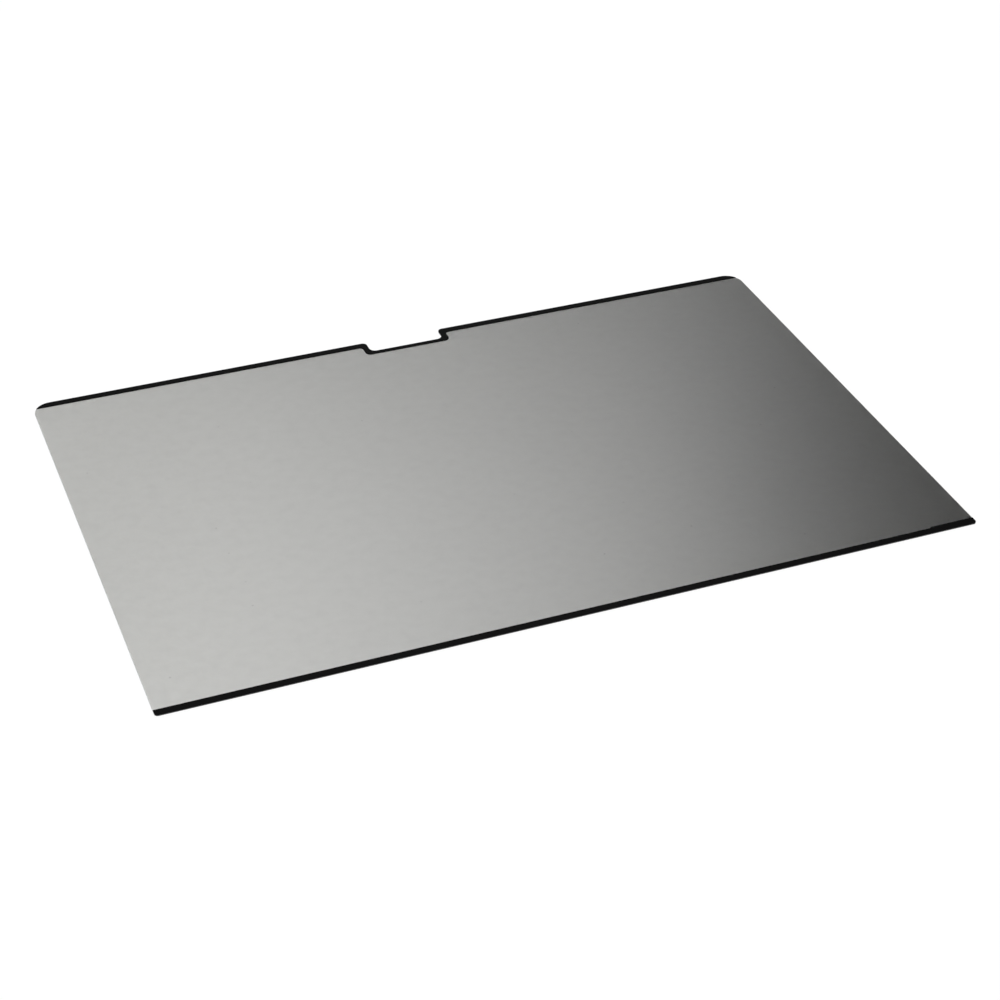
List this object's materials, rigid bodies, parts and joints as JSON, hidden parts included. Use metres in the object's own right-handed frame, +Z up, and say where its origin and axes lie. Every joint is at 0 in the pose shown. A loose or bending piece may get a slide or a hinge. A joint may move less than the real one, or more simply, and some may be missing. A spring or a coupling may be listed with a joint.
{
  "type": "laptop privacy filter",
  "caption": "Thin rectangular louvre film with rounded top corners and a camera notch, edged along top and bottom by black magnetic strips, that hides a laptop screen from the side.",
  "frame": {"origin": "on the surface the filter lies on, under the middle of the film", "axes": "+X along the long side towards the strip's wider end, +Y towards the notch, +Z up, out of the face that carries the strips"},
  "size_m": [0.306, 0.1984, 0.0006],
  "materials": {
    "louvre_film": "satin",
    "black_strip": "matte"
  },
  "bodies": {
    "root": {"privacy_film": "louvre_film", "top_strip": "black_strip", "bottom_strip": "black_strip"}
  },
  "joints": []
}
